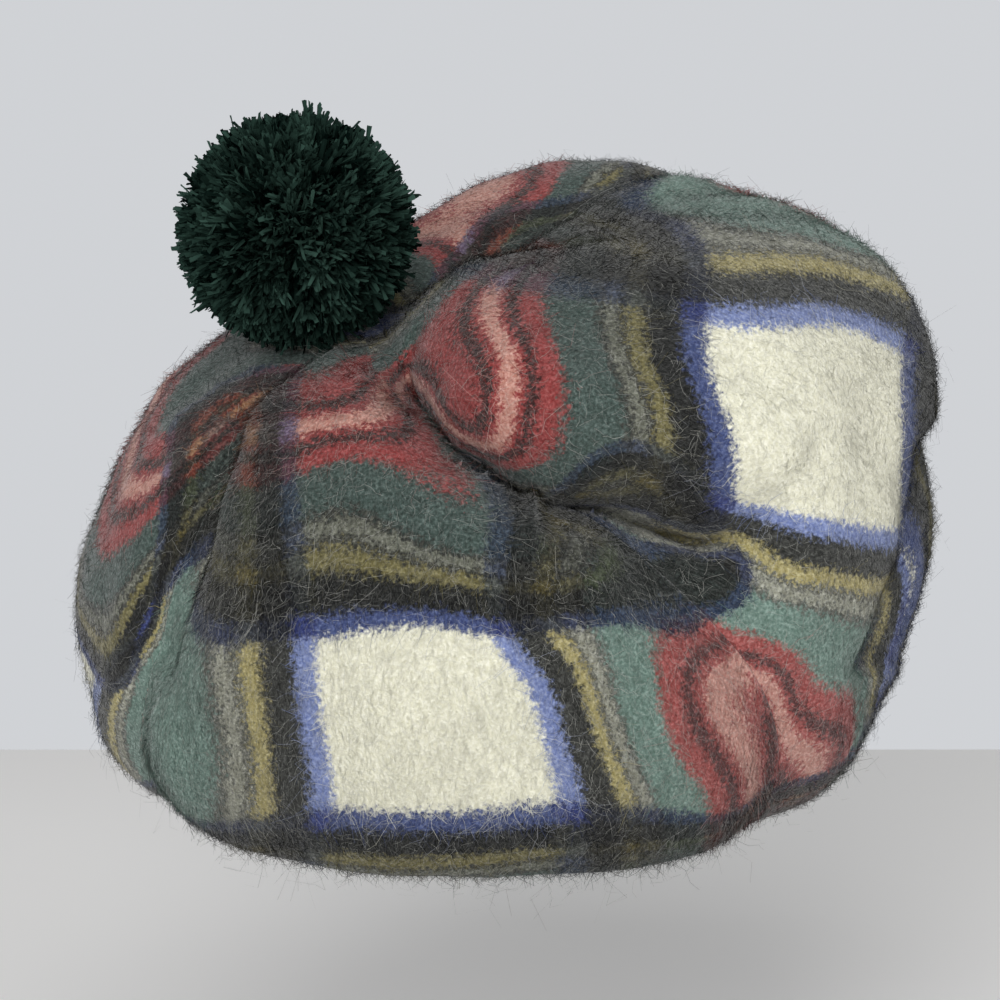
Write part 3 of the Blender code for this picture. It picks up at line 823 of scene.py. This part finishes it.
def nap_group():
    """Scatters narrow fibres over a skin, lays them one way and curls them."""
    inputs = (
        ("Skin", "Geometry", None),
        ("Density", "Float", 1000.0),
        ("Length", "Float", 0.005),
        ("Width", "Float", 0.00012),
        ("Lift", "Float", 0.3),
        ("Curl", "Float", 0.5),
        ("Bends", "Int", 3),
        ("Paleness", "Float", 0.0),
        ("Lay", "Vector", None),
        ("Seed", "Int", 1),
        ("Fibre", "Material", None),
    )
    tree, given, result = new_group("mohair_fibres", "GeometryNodeTree", inputs, [("Nap", "Geometry")])

    def chance(kind, low, high, offset):
        first, shown = {"FLOAT_VECTOR": (0, 0), "FLOAT": (2, 1)}[kind]
        values = {first: low, first + 1: high, "Seed": figure(tree, "ADD", given["Seed"], offset)}
        return add_node(tree, "FunctionNodeRandomValue", values, data_type=kind).outputs[shown]

    def store(geometry, name, kind, value):
        values = {"Geometry": geometry, "Name": name, "Value": value}
        return step(tree, "StoreNamedAttribute", values, data_type=kind, domain="POINT")

    values = {"Mesh": given["Skin"], "Density": given["Density"], "Seed": given["Seed"]}
    scatter = add_node(tree, "GeometryNodeDistributePointsOnFaces", values).outputs
    normal = scatter["Normal"]
    tone = figure(tree, "ADD", chance("FLOAT", 0.0, 1.0, 3), given["Paleness"])
    # Most fibres are short, and a few are several times as long
    long = figure(tree, "POWER", chance("FLOAT", 0.0, 1.0, 7), 5.0)
    span = figure(tree, "MULTIPLY", given["Length"], figure(tree, "MULTIPLY_ADD", long, 1.7, 0.5))
    roots = store(scatter["Points"], "tone", "FLOAT", tone)
    roots = store(roots, "span", "FLOAT", span)
    roots = store(roots, "outward", "FLOAT_VECTOR", normal)
    roots = store(roots, "root", "FLOAT_VECTOR", step(tree, "InputPosition"))

    rows = figure(tree, "ADD", given["Bends"], 1)
    strip = step(tree, "MeshGrid", {"Size X": 1.0, "Size Y": 1.0, "Vertices X": 2, "Vertices Y": rows})
    axes = split_axes(tree, step(tree, "InputPosition"))
    along = figure(tree, "ADD", axes["Y"], 0.5)
    strip = store(strip, "along", "FLOAT", along)
    narrow = figure(tree, "SUBTRACT", 1.0, figure(tree, "MULTIPLY", along, 0.6))
    upright = joined_axes(tree, {"X": figure(tree, "MULTIPLY", axes["X"], narrow), "Z": along})
    strip = step(tree, "SetPosition", {"Geometry": strip, "Position": upright})

    loose = chance("FLOAT_VECTOR", (-1.0, -1.0, -1.0), (1.0, 1.0, 1.0), 5)
    way = direction(tree, "ADD", loose, given["Lay"])
    off_skin = scaled(tree, normal, direction(tree, "DOT_PRODUCT", way, normal))
    way = direction(tree, "NORMALIZE", direction(tree, "SUBTRACT", way, off_skin))
    raised = figure(tree, "MULTIPLY", given["Lift"], figure(tree, "SUBTRACT", 1.15, long))
    raised = figure(tree, "MULTIPLY", raised, chance("FLOAT", 0.2, 1.8, 9))
    way = direction(tree, "ADD", way, scaled(tree, normal, raised))
    size = joined_axes(tree, {"X": given["Width"], "Y": 1.0, "Z": span})
    values = {"Points": roots, "Instance": strip, "Rotation": turned_along(tree, way), "Scale": size}
    fibres = step(tree, "RealizeInstances", {"Geometry": step(tree, "InstanceOnPoints", values)})

    # Each fibre curls from its root on, and never into the cloth
    along = read_from_points(tree, "along", "FLOAT")
    span = read_from_points(tree, "span", "FLOAT")
    outward = read_from_points(tree, "outward", "FLOAT_VECTOR")
    onwards = scaled(tree, (1.0, 0.7, 0.4), figure(tree, "MULTIPLY", along, span))
    at = direction(tree, "ADD", read_from_points(tree, "root", "FLOAT_VECTOR"), onwards)
    values = {"Vector": at, "Scale": 170.0, "Detail": 1.0}
    noise = add_node(tree, "ShaderNodeTexNoise", values).outputs["Color"]
    bend = direction(tree, "SUBTRACT", noise, (0.5, 0.5, 0.5))
    strength = figure(tree, "MULTIPLY", figure(tree, "POWER", along, 1.3), given["Curl"])
    strength = figure(tree, "MULTIPLY", figure(tree, "MULTIPLY", strength, span), 4.0)
    bend = scaled(tree, bend, strength)
    sunk = figure(tree, "MINIMUM", direction(tree, "DOT_PRODUCT", bend, outward), 0.0)
    bend = direction(tree, "SUBTRACT", bend, scaled(tree, outward, sunk))
    fibres = step(tree, "SetPosition", {"Geometry": fibres, "Offset": bend})
    fibres = step(tree, "SetMaterial", {"Geometry": fibres, "Material": given["Fibre"]})
    tree.links.new(fibres, result["Nap"])
    return tree


def grow_on(piece, group, values):
    """Runs a node tree on a piece, its inputs set by each socket's identifier, and keeps its mesh."""
    modifier = piece.modifiers.new(group.name, "NODES")
    modifier.node_group = group
    for item in group.interface.items_tree:
        if item.item_type == "SOCKET" and item.in_out == "INPUT" and item.name in values:
            modifier[item.identifier] = values[item.name]
    seen = piece.evaluated_get(bpy.context.evaluated_depsgraph_get())
    mesh = bpy.data.meshes.new_from_object(seen)
    piece.modifiers.clear()
    piece.data = mesh


fibre_group = nap_group()
fibre = mohair()
for side, gore, fibres, lay_up, seed in NAP:
    cloth_mesh = cloth_pieces[side].data
    columns, rows = CLOTH_GRIDS[gore]
    kept_rows = int(rows * NAP_END)
    places = [vertex.co.copy() for vertex in cloth_mesh.vertices[: (columns + 1) * (kept_rows + 1)]]
    quads = [face[::-1] for face in grid_faces(columns, kept_rows)]
    source = np.empty(3 * len(cloth_mesh.vertices), np.float32)
    cloth_mesh.attributes["threads"].data.foreach_get("vector", source)
    for sort, share, length, width, lift, curl, bends, paleness in NAP_SORTS:
        nap = add_piece(f"{sort}_{side}", places, quads, fibre)
        store_on_points(nap, "threads", "FLOAT_VECTOR", source[: 3 * len(places)])
        area = sum(face.area for face in nap.data.polygons)
        values = {
            "Density": fibres * share / area,
            "Length": length,
            "Width": width,
            "Lift": lift,
            "Curl": curl,
            "Bends": bends,
            "Paleness": paleness,
            "Lay": (0.0, 0.0, lay_up),
            "Seed": seed + 10 * bends,
            "Fibre": fibre,
        }
        grow_on(nap, fibre_group, values)
        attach(nap, "root")

# Headband
# A strip of plain dark wool cloth, folded lengthways into a soft edge and sewn to the gores, that
# grips the head. A row of stitches runs round its inner face below the joint.
BAND_COLUMNS = 180
BAND_WAVE = 0.0005
STITCHES = 120
STITCH_LENGTH = 0.0028
STITCH_THICKNESS = 0.0006
STITCH_DOWN = 0.006
BAND_COLOUR = (0.020, 0.022, 0.030)
THREAD_COLOUR = (0.035, 0.036, 0.045)


def wool_grain_group():
    """The fine unevenness of plain wool: a colour between a deep and a raised one, and a height."""
    inputs = (("Place", "Vector", None), ("Deep", "Color", None), ("Raised", "Color", None))
    outputs = [("Color", "Color"), ("Height", "Float")]
    tree, given, result = new_group("wool_grain", "ShaderNodeTree", inputs, outputs)
    values = {"Vector": given["Place"], "Scale": 900.0, "Detail": 3.0}
    grain = add_node(tree, "ShaderNodeTexNoise", values).outputs["Fac"]
    values = {"Value": grain, "From Min": 0.35, "From Max": 0.65}
    raised = add_node(tree, "ShaderNodeMapRange", values).outputs[0]
    tree.links.new(blended(tree, "MIX", raised, given["Deep"], given["Raised"]), result["Color"])
    tree.links.new(grain, result["Height"])
    return tree


wool_grain = wool_grain_group()


def plain_wool(name, colour, bump_depth):
    """Plain dark wool with a fine uneven face."""
    material, tree, shader = new_material(name, {"Roughness": 0.92, "Specular IOR Level": 0.15})
    place = add_node(tree, "ShaderNodeTexCoord").outputs["Object"]
    deep, raised = ((*(share * c for c in colour), 1.0) for share in (0.6, 1.5))
    values = {"Place": place, "Deep": deep, "Raised": raised}
    grain = add_node(tree, "ShaderNodeGroup", values, node_tree=wool_grain).outputs
    tree.links.new(grain["Color"], shader["Base Color"])
    bump = add_node(tree, "ShaderNodeBump", {"Distance": bump_depth, "Height": grain["Height"]})
    tree.links.new(bump.outputs["Normal"], shader["Normal"])
    return material


def band_rings():
    """The strip's section, a flat loop with rounded ends, as places outwards and up."""
    half = BAND_WALL / 2
    bend = np.linspace(0, np.pi, 7)
    low = [(half + half * math.cos(a), half - half * math.sin(a)) for a in bend]
    high = [(half - half * math.cos(a), BAND_HEIGHT - half + half * math.sin(a)) for a in bend]
    inner = [(0.0, half + (BAND_HEIGHT - 2 * half) * s) for s in (0.25, 0.5, 0.75)]
    outer = [(BAND_WALL, half + (BAND_HEIGHT - 2 * half) * s) for s in (0.75, 0.5, 0.25)]
    return low + inner + high + outer


turns = np.linspace(0, 2 * np.pi, BAND_COLUMNS, endpoint=False)
rings = band_rings()
places, faces = [], []
for outwards, up in rings:
    x, y = band_edge(turns, outwards)
    ring = np.stack([x, y, np.full_like(x, up)], axis=-1)
    squeeze = 1 - BAND_WAVE * (1 + waves(ring, 0.06, 61).clip(-1, 1)) / BAND_INNER_WIDTH
    places.extend(ring * np.stack([squeeze, squeeze, np.ones_like(squeeze)], axis=-1))
for ring in range(len(rings)):
    after = (ring + 1) % len(rings)
    for i in range(BAND_COLUMNS):
        j = (i + 1) % BAND_COLUMNS
        here, there = ring * BAND_COLUMNS, after * BAND_COLUMNS
        faces.append((here + i, there + i, there + j, here + j))
band = add_piece("band_strip", places, faces, plain_wool("plain band wool", BAND_COLOUR, 0.0004))
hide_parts("headband")
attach(band, "root")


def stitch_group():
    """Sets one stitch, a short rounded length of thread, on each point along its way."""
    inputs = (
        ("Places", "Geometry", None),
        ("Length", "Float", STITCH_LENGTH),
        ("Thickness", "Float", STITCH_THICKNESS),
        ("Thread", "Material", None),
    )
    tree, given, result = new_group("band_stitches", "GeometryNodeTree", inputs, [("Stitches", "Geometry")])
    bead = step(tree, "MeshUVSphere", {"Segments": 8, "Rings": 6, "Radius": 0.5})
    turn = turned_along(tree, read_from_points(tree, "way", "FLOAT_VECTOR"))
    size = joined_axes(tree, {"X": given["Thickness"], "Y": given["Thickness"], "Z": given["Length"]})
    values = {"Points": given["Places"], "Instance": bead, "Rotation": turn, "Scale": size}
    sewn = step(tree, "RealizeInstances", {"Geometry": step(tree, "InstanceOnPoints", values)})
    sewn = step(tree, "SetMaterial", {"Geometry": sewn, "Material": given["Thread"]})
    tree.links.new(sewn, result["Stitches"])
    return tree


stitch_places, stitch_ways = [], []
for turn in np.linspace(0, 2 * np.pi, STITCHES, endpoint=False):
    x, y = band_edge(turn, -BAND_WAVE)
    ahead_x, ahead_y = band_edge(turn + 0.01, -BAND_WAVE)
    stitch_places.append((x, y, BAND_HEIGHT - STITCH_DOWN))
    stitch_ways.append((ahead_x - x, ahead_y - y, 0.0))
thread = plain_wool("band thread", THREAD_COLOUR, 0.0001)
stitches = add_piece("band_stitches", stitch_places, [], thread)
store_on_points(stitches, "way", "FLOAT_VECTOR", stitch_ways)
values = {"Length": STITCH_LENGTH, "Thickness": STITCH_THICKNESS, "Thread": thread}
grow_on(stitches, stitch_group(), values)
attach(stitches, "root")

# Pompom
# A ball of cut, plied wool yarn in bottle green, sewn on at the apex and pressed flat on the cloth.
# Each yarn end has opened into its plies, and the ends stand in clumps with dark gaps between, which
# painted shade on the lower ends makes darker.
POMPOM_DIAMETER = 0.082
POMPOM_LEAN = (-0.58, -0.20, 0.86)
POMPOM_SINK = 0.0035
POMPOM_SEED = 7
YARN_ENDS = 3300
YARN_LENGTH = 0.017
ENDS_TURN = 2.399963
PLIES = 3
PLY_TURN = 2.0944
PLY_SPREAD = 0.0015
PLY_RADIUS = 0.00050
CORE_SHARE = 0.66
YARN_OFF_CLOTH, CORE_OFF_CLOTH = 0.0012, 0.002
# Painted shade and light on the yarn: the colours of the ends that sink lowest and of those that stand out
# furthest.
YARN_SHADED_TONE, YARN_LIT_TONE = (0.0012, 0.004, 0.0032), (0.027, 0.056, 0.044)

apex_point = Vector(crown_point(0, np.array(0.0), np.array(0.004)))
pompom_middle = apex_point + Vector(POMPOM_LEAN).normalized() * (POMPOM_DIAMETER / 2 - POMPOM_SINK)
cloth_corners, cloth_faces = [], []
for piece in cloth_pieces.values():
    start = len(cloth_corners)
    cloth_corners.extend(v.co.copy() for v in piece.data.vertices)
    cloth_faces.extend([start + i for i in face.vertices] for face in piece.data.polygons)
cloth_tree = BVHTree.FromPolygons(cloth_corners, cloth_faces)


def wool_yarn():
    """Dull dark wool with painted shade: each end's colour runs from a shaded to a lit green by its tone,
    darker for ends that sink lower in the ball, and the core is darkest.
    """
    values = {"Roughness": 0.9, "Specular IOR Level": 0.0}
    material, tree, shader = new_material("bottle green yarn", values)
    tone = add_node(tree, "ShaderNodeAttribute", attribute_name="tone").outputs["Fac"]
    ramp = add_node(tree, "ShaderNodeValToRGB", {0: tone})
    ramp.color_ramp.elements[0].color = (*YARN_SHADED_TONE, 1.0)
    ramp.color_ramp.elements[1].color = (*YARN_LIT_TONE, 1.0)
    tree.links.new(ramp.outputs["Color"], shader["Base Color"])
    return material


def yarn_group():
    """Sets an opened yarn end on each point, its plies round its middle, as long as its reach."""
    inputs = (
        ("Roots", "Geometry", None),
        ("Ply radius", "Float", PLY_RADIUS),
        ("Ply spread", "Float", PLY_SPREAD),
        ("Ruffle", "Float", 0.002),
        ("Yarn", "Material", None),
    )
    tree, given, result = new_group("pompom_yarn", "GeometryNodeTree", inputs, [("Pile", "Geometry")])
    join = tree.nodes.new("GeometryNodeJoinGeometry")
    for ply in range(PLIES):
        values = {"Vertices": 3, "Side Segments": 3, "Radius Top": 0.7, "Radius Bottom": 1.0, "Depth": 1.0}
        tube = step(tree, "MeshCone", values, fill_type="NONE")
        axes = split_axes(tree, step(tree, "InputPosition"))
        # A ply lies off the yarn's middle and winds round it, further out towards its end
        wind = figure(tree, "MULTIPLY_ADD", axes["Z"], 2.6, ply * PLY_TURN)
        reach = figure(tree, "MULTIPLY_ADD", axes["Z"], given["Ply spread"], given["Ply radius"])
        values = {"Z": axes["Z"]}
        for axis, circle in (("X", "COSINE"), ("Y", "SINE")):
            out = figure(tree, "MULTIPLY", figure(tree, circle, wind), reach)
            values[axis] = figure(tree, "MULTIPLY_ADD", axes[axis], given["Ply radius"], out)
        bent = step(tree, "SetPosition", {"Geometry": tube, "Position": joined_axes(tree, values)})
        tree.links.new(bent, join.inputs[0])
    turn = turned_along(tree, read_from_points(tree, "way", "FLOAT_VECTOR"))
    size = joined_axes(tree, {"X": 1.0, "Y": 1.0, "Z": read_from_points(tree, "reach", "FLOAT")})
    values = {"Points": given["Roots"], "Instance": join.outputs[0], "Rotation": turn, "Scale": size}
    pile = step(tree, "RealizeInstances", {"Geometry": step(tree, "InstanceOnPoints", values)})
    values = {"Vector": step(tree, "InputPosition"), "Scale": 260.0, "Detail": 2.0}
    noise = add_node(tree, "ShaderNodeTexNoise", values).outputs["Color"]
    ruffle = scaled(tree, direction(tree, "SUBTRACT", noise, (0.5, 0.5, 0.5)), given["Ruffle"])
    pile = step(tree, "SetPosition", {"Geometry": pile, "Offset": ruffle})
    pile = step(tree, "SetMaterial", {"Geometry": pile, "Material": given["Yarn"]})
    tree.links.new(pile, result["Pile"])
    return tree


random = np.random.default_rng(POMPOM_SEED)
radius = POMPOM_DIAMETER / 2
roots, ways, reaches, shade_and_tones = [], [], [], []
for i in range(YARN_ENDS):
    up = 1 - 2 * (i + 0.5) / YARN_ENDS
    turn = i * ENDS_TURN
    way = Vector((math.sqrt(1 - up * up) * math.cos(turn), math.sqrt(1 - up * up) * math.sin(turn), up))
    way = (way + Vector(random.normal(size=3) * 0.035)).normalized()
    at = np.array(way) * radius
    clump = float(waves(at, 0.016, 31))
    lean = np.array([float(waves(at, 0.013, s)) for s in (41, 42, 43)])
    end_share = 0.935 + 0.035 * clump - 0.05 * random.random()
    end = radius * (end_share + (0.07 if random.random() > 0.975 else 0.0))
    cloth_away = cloth_tree.ray_cast(pompom_middle, way, 2 * radius)[3]
    if cloth_away is not None:
        end = min(end, cloth_away - YARN_OFF_CLOTH)
    length = min(YARN_LENGTH, end)
    ways.append((way + Vector(0.22 * lean + random.normal(size=3) * 0.22)).normalized())
    roots.append(pompom_middle + way * (end - length))
    reaches.append(length)
    # Painted shade: ends of clumps that stand out further are lighter and sunk ones darker, with a random
    # tone on top.
    shade_and_tones.append(min(max(0.42 + 0.40 * clump + 0.22 * random.normal(), 0.0), 1.0))
yarn = wool_yarn()
pile = add_piece("pompom_pile", roots, [], yarn)
store_on_points(pile, "way", "FLOAT_VECTOR", ways)
store_on_points(pile, "reach", "FLOAT", reaches)
store_on_points(pile, "tone", "FLOAT", shade_and_tones)
values = {"Ply radius": PLY_RADIUS, "Ply spread": PLY_SPREAD, "Ruffle": 0.011, "Yarn": yarn}
grow_on(pile, yarn_group(), values)
# The core ball's points get a tone of 0, so it has the darkest colour, painted shade in the middle of the
# ball.
core = bmesh.new()
core.from_mesh(pile.data)
yarn_slot = pile.data.polygons[0].material_index
ball = bmesh.ops.create_icosphere(core, subdivisions=3, radius=CORE_SHARE * radius)["verts"]
for face in {face for v in ball for face in v.link_faces}:
    face.material_index = yarn_slot
for v in ball:
    cloth_away = cloth_tree.ray_cast(pompom_middle, v.co.normalized(), 2 * radius)[3]
    reach = CORE_SHARE * radius
    if cloth_away is not None:
        reach = min(reach, cloth_away - CORE_OFF_CLOTH)
    v.co = pompom_middle + v.co.normalized() * reach
core.to_mesh(pile.data)
core.free()
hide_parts("pompom")
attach(pile, "root")

# Camera, light and floor
# The hat is seen from the front and a little above, against a pale backdrop over a plain pale floor.
# Three large soft lights stand in front of it, over its front and at its right.
LENS = 116.0
camera = bpy.data.objects.new("camera", bpy.data.cameras.new("camera"))
bpy.context.scene.collection.objects.link(camera)
camera.location = eye
camera.data.lens = LENS
camera.data.sensor_width = 36.0
aim = Vector((0.0007, 0.0, 0.0625))
camera.rotation_euler = (aim - Vector(eye)).to_track_quat("-Z", "Y").to_euler()
bpy.context.scene.camera = camera

bpy.context.scene.view_settings.view_transform = "Standard"

# The pale backdrop is seen at full strength, and lights the hat less
world = bpy.data.worlds.new("studio")
world.use_nodes = True
tree = world.node_tree
ambient = tree.nodes["Background"]
ambient.inputs["Color"].default_value = (0.96, 0.98, 1.0, 1.0)
ambient.inputs["Strength"].default_value = 0.25
backdrop = add_node(tree, "ShaderNodeBackground", {"Color": (0.63, 0.645, 0.67, 1.0)})
seen = add_node(tree, "ShaderNodeLightPath").outputs["Is Camera Ray"]
values = {0: seen, 1: ambient.outputs[0], 2: backdrop.outputs[0]}
either = add_node(tree, "ShaderNodeMixShader", values)
tree.links.new(either.outputs[0], tree.nodes["World Output"].inputs["Surface"])
bpy.context.scene.world = world


def soft_light(name, place, size, power):
    lamp = bpy.data.objects.new(name, bpy.data.lights.new(name, "AREA"))
    lamp.data.size = size
    lamp.data.energy = power
    lamp.location = place
    lamp.rotation_euler = (Vector((0, 0, 0.05)) - Vector(place)).to_track_quat("-Z", "Y").to_euler()
    bpy.context.scene.collection.objects.link(lamp)


soft_light("key, from the front", (-0.5, -2.0, 0.75), 1.2, 31.0)
soft_light("over the front", (-0.2, -1.5, 1.8), 1.4, 19.0)
soft_light("from the right", (1.9, -0.9, 0.9), 1.2, 17.0)

FLOOR_DOWN = -0.16
FLOOR_SIDE, FLOOR_NEAR, FLOOR_BACK = 2.5, -2.0, 0.58
values = {
    "Base Color": (0.88, 0.87, 0.86, 1.0),
    "Roughness": 0.9,
    "Emission Color": (1.0, 0.99, 0.98, 1.0),
    "Emission Strength": 0.05,
}
paper = new_material("pale floor", values)[0]
floor_mesh = bpy.data.meshes.new("floor")
floor_corners = [
    (-FLOOR_SIDE, FLOOR_NEAR, FLOOR_DOWN),
    (FLOOR_SIDE, FLOOR_NEAR, FLOOR_DOWN),
    (FLOOR_SIDE, FLOOR_BACK, FLOOR_DOWN),
    (-FLOOR_SIDE, FLOOR_BACK, FLOOR_DOWN),
]
floor_mesh.from_pydata(floor_corners, [], [(0, 1, 2, 3)])
floor_mesh.materials.append(paper)
floor = bpy.data.objects.new("floor", floor_mesh)
bpy.context.scene.collection.objects.link(floor)
